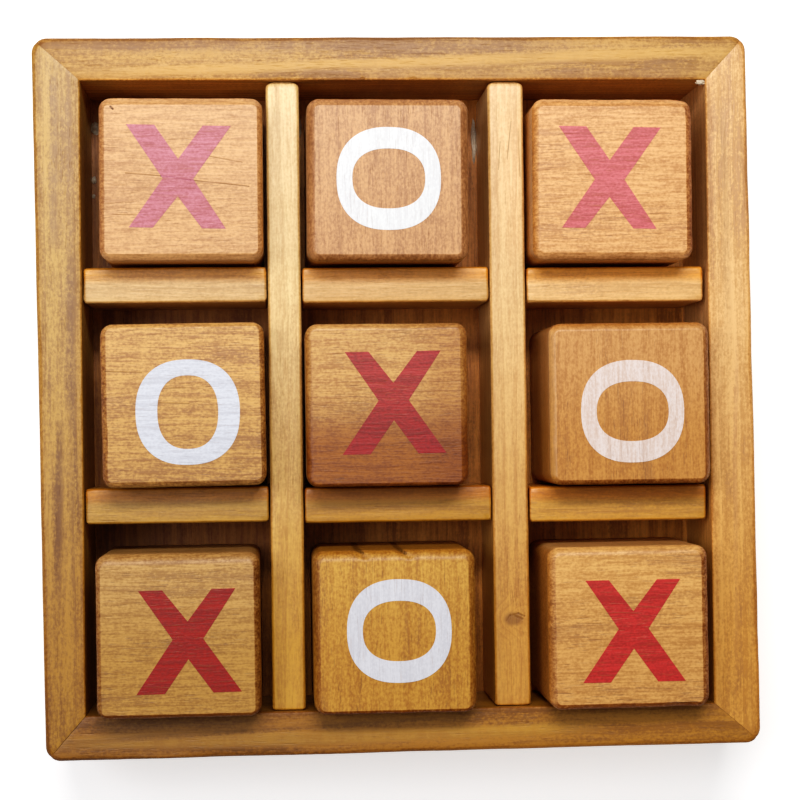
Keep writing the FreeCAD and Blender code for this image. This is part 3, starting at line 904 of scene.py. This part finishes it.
BLOCK_LOOKS = {
    "back_left": {
        "seed": (3.0, 1.0, 40.0), "pale": (0.80, 0.42, 0.14), "deep": (0.54, 0.25, 0.07),
        "tint": (0.909, 0.934, 1.109), "stained": 0.2, "pith": (40.0, -70.0),
        "cuts": ((-37.9, 30.9, -33.0, 30.5, 0.14, 0.5), (-33.0, 30.5, -29.0, 29.9, 0.16, 0.8),
                 (-29.0, 29.9, -20.9, 29.0, 0.12, 0.6), (-26.6, 33.3, -21.8, 32.4, 0.10, 0.5),
                 (-39.9, 40.1, -39.6, 39.8, 0.22, 0.9), (-39.8, 25.2, -35.5, 25.1, 0.10, 0.4)),
    },
    "back_centre": {
        "axis": "Y", "seed": (13.0, 6.0, 20.0), "pale": (0.66, 0.32, 0.11), "deep": (0.40, 0.17, 0.05),
        "tint": (0.96, 1.014, 1.17), "pith": (-30.0, -60.0), "fibre": 1.8, "ring_gap": 1.2,
    },
    "back_right": {
        "seed": (33.0, 16.0, 2.0), "pale": (0.80, 0.40, 0.10), "deep": (0.52, 0.22, 0.04),
        "tint": (1.029, 1.085, 1.645), "pith": (50.0, -60.0),
    },
    "middle_left": {
        "seed": (7.0, 26.0, 12.0), "pale": (0.80, 0.42, 0.10), "deep": (0.44, 0.19, 0.04),
        "tint": (0.899, 0.958, 1.234), "stained": 0.4, "pith": (-40.0, -50.0), "cloud": 1.0,
        # painted sheen and shade: darker and more saturated towards the cube's front edge
        "fades": (("Y", 8, -10, (0.86, 0.84, 0.76)),),
        "cuts": ((-41.0, 3.4, -36.0, 3.2, 0.12, 0.5),
                 (-34.0, -1.0, -29.5, -1.2, 0.10, 0.5), (-33.0, 1.0, -30.0, 1.0, 0.10, 0.5)),
    },
    "middle_centre": {
        "seed": (17.0, 36.0, 22.0), "pale": (0.74, 0.36, 0.12), "deep": (0.46, 0.18, 0.05),
        "tint": (0.911, 1.045, 0.99), "stained": 0.3, "pith": (-60.0, -40.0),
        "fades": (("Y", 2.5, -8.5, (0.50, 0.30, 0.08)), ("X", 0.5, 6.5, (0.82, 0.72, 0.60))),
    },
    "middle_right": {
        "axis": "Y", "seed": (27.0, 46.0, 32.0), "pale": (0.72, 0.32, 0.07), "deep": (0.50, 0.19, 0.03),
        "tint": (0.907, 1.027, 1.543), "pith": (80.0, -60.0), "fibre": 1.9, "ring_gap": 1.3,
        # painted sheen and shade: darker and more saturated towards the cube's front edge
        "fades": (("Y", 6, -9, (0.90, 0.82, 0.54)),),
    },
    "front_left": {
        "seed": (37.0, 56.0, 42.0), "pale": (0.80, 0.42, 0.11), "deep": (0.52, 0.24, 0.05),
        "tint": (0.764, 0.849, 1.089), "stained": 0.3, "pith": (30.0, -50.0), "cloud": 0.9, "streak": 1.4,
        # painted sheen and shade: darker and more saturated towards the cube's front edge
        "fades": (("Y", -22, -38, (0.84, 0.77, 0.50)),),
    },
    "front_centre": {
        "axis": "Y", "seed": (47.0, 66.0, 52.0), "pale": (0.86, 0.42, 0.07), "deep": (0.56, 0.22, 0.025),
        "tint": (0.788, 0.899, 1.056), "pith": (-36.0, -50.0), "fibre": 1.5, "streak": 1.4,
        "cuts": ((-8.0, -20.9, -5.7, -22.2, 0.36, 0.85), (-2.0, -20.9, 0.3, -22.3, 0.36, 0.85)),
        # painted sheen and shade: darker and more saturated towards the cube's front edge
        "fades": (("Y", -22, -38, (0.87, 0.79, 0.60)),),
    },
    "front_right": {
        "seed": (57.0, 76.0, 62.0), "pale": (0.92, 0.48, 0.13), "deep": (0.62, 0.28, 0.06),
        "tint": (0.892, 0.947, 1.167), "pith": (-60.0, -30.0), "ring_gap": 1.4,
        # painted sheen and shade: darker and more saturated towards the cube's front edge
        "fades": (("Y", -22, -38, (0.88, 0.84, 0.78)),),
    },
}


BLOCK_WOOD = {
    "axis": "X", "stained": 0.25, "stain": (0.42, 0.19, 0.06),
    "wear_tint": (0.42, 0.24, 0.10), "end_tint": (0.86, 0.72, 0.46),
    "fibre": 2.9, "ring": 0.22, "streak": 1.2, "speckle": 2.3, "pore": 0.38,
    "roughness": 0.40, "specular": 0.12, "coat": 0.9,
}


def block_look(cell):
    return {**BLOCK_WOOD, **BLOCK_LOOKS[cell]}


INKS = {  # pale and deep colour of the ink, and how well it covers
    "back_left": ((0.5256, 0.1446, 0.2282), (0.4088, 0.0795, 0.1222), 0.88),
    "back_centre": ((0.8151, 0.8281, 0.8263), (0.7379, 0.7400, 0.7471), 0.99),
    "back_right": ((0.6271, 0.1139, 0.1502), (0.4529, 0.0613, 0.0751), 0.92),
    "middle_left": ((0.6889, 0.7221, 0.7953), (0.5767, 0.5976, 0.6642), 0.96),
    "middle_centre": ((0.4037, 0.0126, 0.0206), (0.2496, 0.0053, 0.0082), 0.95),
    "middle_right": ((0.8271, 0.7392, 0.7097), (0.7168, 0.5729, 0.4987), 0.9),
    "front_left": ((0.3495, 0.0015, 0.0015), (0.2377, 0.0007, 0.0007), 0.97),
    "front_centre": ((0.7176, 0.7245, 0.7746), (0.6240, 0.6279, 0.6757), 0.97),
    "front_right": ((0.5894, 0.0149, 0.0227), (0.3929, 0.0067, 0.0104), 0.95),
}


def cross_ink(cell):
    low = (1.0, -6.0, (0.85, 0.55, 0.55)) if cell == "middle_centre" else None
    return ink(cell + "_red_ink", block_look(cell), *INKS[cell], thin=0.26, low=low)


def ring_ink(cell):
    return ink(cell + "_white_ink", block_look(cell), *INKS[cell], thin=0.16)


def dried_glue():
    g = Graph("dried_glue")
    point = g.vector("SCALE", g.node("TexCoord").outputs["Object"], 1 / MM)
    cloud = g.noise(point, (1.5, 1.5, 1.5), 3.0)
    dust = g.noise(point, (6.0, 6.0, 6.0), 2.0)
    share = g.math("ADD", g.total((1.6, cloud), (0.8, dust)), 0.5, clamp=True)
    colour = g.mix(share, (0.80, 0.72, 0.58), (0.52, 0.38, 0.22))
    return g.finish(colour, g.total((1.0, dust), (0.5, cloud), 0.5), g.total((0.3, cloud), 0.38))


FLOOR_SIDE = 3.0  # metres from the middle to each edge
FLOOR_GLOW = 0.5  # keeps the floor pale where the tray shades it


def pale_floor():
    g = Graph("pale_floor")
    point = g.vector("SCALE", g.node("TexCoord").outputs["Object"], 1 / MM)
    cloud = g.noise(point, (0.01, 0.01, 0.01), 2.0)
    colour = g.mix(g.math("ADD", cloud, 0.5), (0.93, 0.93, 0.93), (0.90, 0.90, 0.90))
    material = g.finish(colour, cloud, 0.8, height=0.00001, specular=0.2)
    shader = next(n for n in g.tree.nodes if n.type == "BSDF_PRINCIPLED")
    shader.inputs["Emission Color"].default_value = (1.0, 1.0, 1.0, 1.0)
    shader.inputs["Emission Strength"].default_value = FLOOR_GLOW
    return material


# -------- camera, light, floor

# In mm. The camera looks nearly straight down at the tray, a little from the left.
CAMERA_AT = Vector((-17.456, -5.288, 302.818))
CAMERA_TOWARDS = Vector((0.09, -0.88, 20.9))
CAMERA_ROLL = math.radians(-0.714)
CAMERA_LENS = 89.557


def make_camera():
    data = bpy.data.cameras.new("camera")
    data.lens, data.sensor_width = CAMERA_LENS, 36.0
    data.clip_start, data.clip_end = 0.01, 20.0
    camera = bpy.data.objects.new("camera", data)
    bpy.context.scene.collection.objects.link(camera)
    view = (CAMERA_TOWARDS - CAMERA_AT).normalized()
    right = view.cross(Vector((0, 1, 0))).normalized()
    up = right.cross(view)
    turned_right = right * math.cos(CAMERA_ROLL) + up * math.sin(CAMERA_ROLL)
    turned_up = turned_right.cross(view)
    axes = Matrix((turned_right, turned_up, -view)).transposed()
    camera.matrix_world = Matrix.Translation(CAMERA_AT * MM) @ axes.to_4x4()
    bpy.context.scene.camera = camera


# Photographic contrast: (scene brightness, shown brightness).
TONE_CURVE = (
    (0.01, 0.004), (0.03, 0.017), (0.06, 0.042), (0.12, 0.1), (0.25, 0.25), (0.5, 0.54), (0.75, 0.79),
)


LAMPS = {  # place and size in mm, power in watts, colour
    "window": ((0, 138, 290), (200, 50), 0.64, (1.0, 0.985, 0.97)),
    "glow": ((-50, 95, 430), (240, 100), 0.22, (1.0, 0.99, 0.98)),
    "sky_left": ((-230, 40, 330), (160, 160), 0.38, (0.93, 0.93, 1.0)),
}
LAMPS_TOWARDS = Vector((0, 0, 20))


def make_lamp(name, at, size, power, colour):
    data = bpy.data.lights.new(name, "AREA")
    data.shape, data.energy, data.color = "RECTANGLE", power, colour
    data.size, data.size_y = size[0] * MM, size[1] * MM
    lamp = bpy.data.objects.new(name, data)
    bpy.context.scene.collection.objects.link(lamp)
    lamp.location = Vector(at) * MM
    lamp.rotation_euler = (LAMPS_TOWARDS - Vector(at)).to_track_quat("-Z", "Y").to_euler()


STUDIO_COLOUR, STUDIO_STRENGTH = (1.0, 0.99, 0.98, 1.0), 0.18


def make_light():
    for name, (at, size, power, colour) in LAMPS.items():
        make_lamp(name, at, size, power, colour)
    world = bpy.data.worlds.new("studio")
    world.use_nodes = True
    background = world.node_tree.nodes["Background"]
    background.inputs["Color"].default_value = STUDIO_COLOUR
    background.inputs["Strength"].default_value = STUDIO_STRENGTH
    bpy.context.scene.world = world
    view = bpy.context.scene.view_settings
    view.view_transform = "Standard"
    view.use_curve_mapping = True
    curve = view.curve_mapping.curves[3]  # the curve for all three colours together
    for x, y in TONE_CURVE:
        curve.points.new(x, y)
    view.curve_mapping.update()


def make_floor():
    mesh = bpy.data.meshes.new("floor")
    corners = [(x * FLOOR_SIDE, y * FLOOR_SIDE, 0) for x, y in ((-1, -1), (1, -1), (1, 1), (-1, 1))]
    mesh.from_pydata(corners, [], [(0, 1, 2, 3)])
    mesh.materials.append(pale_floor())
    floor = bpy.data.objects.new("floor", mesh)
    bpy.context.scene.collection.objects.link(floor)


# -------- the set

RUNGS = {  # tint of each rung; the back rungs' paler, bluer tints are partly painted sheen
    "back_left_rung": (0.811, 0.905, 1.31),
    "back_centre_rung": (0.841, 0.883, 1.068),
    "back_right_rung": (0.973, 1.018, 1.398),
    "front_left_rung": (0.608, 0.593, 0.323),
    "front_centre_rung": (0.591, 0.51, 0.14),
    "front_right_rung": (0.748, 0.669, 0.312),
}
BAR_LOOKS = {
    "left_divider": {
        "axis": "Y", "seed": (4.0, 44.0, 4.0), "pale": (0.88, 0.58, 0.22), "deep": (0.66, 0.38, 0.12),
        # painted sheen and shade: darker and more saturated towards the front, paler at the back
        "tint": (1.0, 1.108, 1.322), "fades": (("Y", 28, -38, (0.72, 0.52, 0.13)),),
        "cuts": ((-12.4, -2.9, -12.3, -4.6, 0.30, 0.6), (-12.4, 6.2, -13.2, 5.9, 0.16, 0.5)),
    },
    "right_divider": {
        "axis": "Y", "seed": (14.0, 54.0, 14.0), "pale": (0.88, 0.58, 0.22), "deep": (0.66, 0.38, 0.12),
        # painted sheen and shade: darker and more saturated towards the front, paler at the back
        "tint": (0.976, 0.97, 1.11), "fades": (("Y", 28, -38, (0.77, 0.59, 0.23)),),
        "knot": (-32.3, 16.0, 1.5),
        "cuts": ((15.0, -32.5, 15.5, -31.8, 0.16, 0.4), (15.5, -31.8, 16.7, -31.5, 0.20, 0.4),
                 (16.7, -31.5, 17.6, -31.9, 0.20, 0.5), (16.3, -31.9, 17.3, -32.3, 0.22, 0.5),
                 (16.6, 38.9, 16.0, 33.5, 0.10, 0.6), (17.6, 37.5, 17.8, 31.0, 0.09, 0.5),
                 (15.0, 36.0, 14.7, 32.0, 0.09, 0.5)),
    },
}
for number, (rung, tint) in enumerate(RUNGS.items()):
    shift = 10.0 * number
    BAR_LOOKS[rung] = {"axis": "X", "seed": (24.0 + shift, 4.0 + shift, 24.0 + shift), "tint": tint}
BAR_LOOKS["back_centre_rung"]["pale"] = (0.82, 0.44, 0.12)


GLUE = {  # dried drops and smears: centre and half-size in mm, seed, and the CAD node that it sticks to
    "glue_back_right": ((EAST - 0.55, NORTH - 0.35, 20.2), (0.75, 0.35, 0.5), 3.0, "back_rail"),
    "glue_left_corner": ((-43.9, 40.6, 3.25), (0.75, 0.9, 0.22), 5.0, "base_panel"),
    "glue_left_drop": ((-44.3, 32.8, 3.3), (0.35, 0.5, 0.32), 7.0, "base_panel"),
    "glue_left_bead": ((-44.35, 30.4, 3.3), (0.25, 0.3, 0.22), 9.0, "base_panel"),
    "glue_centre_left": ((-13.45, 40.6, 3.35), (0.26, 1.3, 0.35), 11.0, "base_panel"),
    "glue_centre_right": ((12.85, 38.4, 3.3), (0.36, 3.2, 0.28), 13.0, "base_panel"),
}


def give_material(name, material):
    """Puts a material on a CAD node that is kept."""
    node = frame["nodes"][name]
    if not node.material_slots:
        node.data.materials.append(material)
    for slot in node.material_slots:
        slot.material = material


BASE_WOOD = {
    "axis": "Y", "seed": (8.0, 8.0, 8.0), "pith": (15.0, -25.0), "ring": 0.15, "ring_gap": 1.5,
    "pale": (0.55, 0.27, 0.08), "deep": (0.30, 0.12, 0.03), "stain": (0.22, 0.09, 0.03),
    "tint": (1.5, 1.28, 0.80), "fibre": 1.6, "streak": 2.4, "roughness": 0.5, "coat": 0.3,
    "fades": (("X", -6, -24, (0.62, 0.58, 0.58)), ("X", 12, 26, (1.1, 1.15, 1.15))),
}
BAR_SHAPES = {  # radius of the long edges, plan radius of the two ends (mm), how ragged the ends are
    "divider": (0.45, (0.35, 0.9), 0.08),
    "rung": (0.38, (0.4, 0.4), 0.3),
}


def make_tray():
    for number, name in enumerate(RAILS):
        make_rail(name, 1.7 + 3.1 * number, rail_wood(name))
    for number, (name, look) in enumerate(BAR_LOOKS.items()):
        easing, ends, chew = BAR_SHAPES[name.split("_")[-1]]
        bar = make_beam(name, look["axis"], easing, 4.3 + 2.9 * number, bar_wood(name), ends, chew)
    give_material("base_panel", wood("base_wood", BASE_WOOD))
    glue = dried_glue()
    for name, (centre, size, seed, node) in GLUE.items():
        make_blob(name, centre, size, seed, glue, node)


def make_cubes():
    for number, (cell, data) in enumerate(BLOCKS.items()):
        material = wood(cell + "_block_wood", block_look(cell))
        make_block(cell, 2.1 + 5.3 * number, material)
        mark = cell + "_" + data["mark"] + "_mark"
        give_material(mark, cross_ink(cell) if data["mark"] == "cross" else ring_ink(cell))


make_camera()
make_light()
make_floor()
make_tray()
make_cubes()
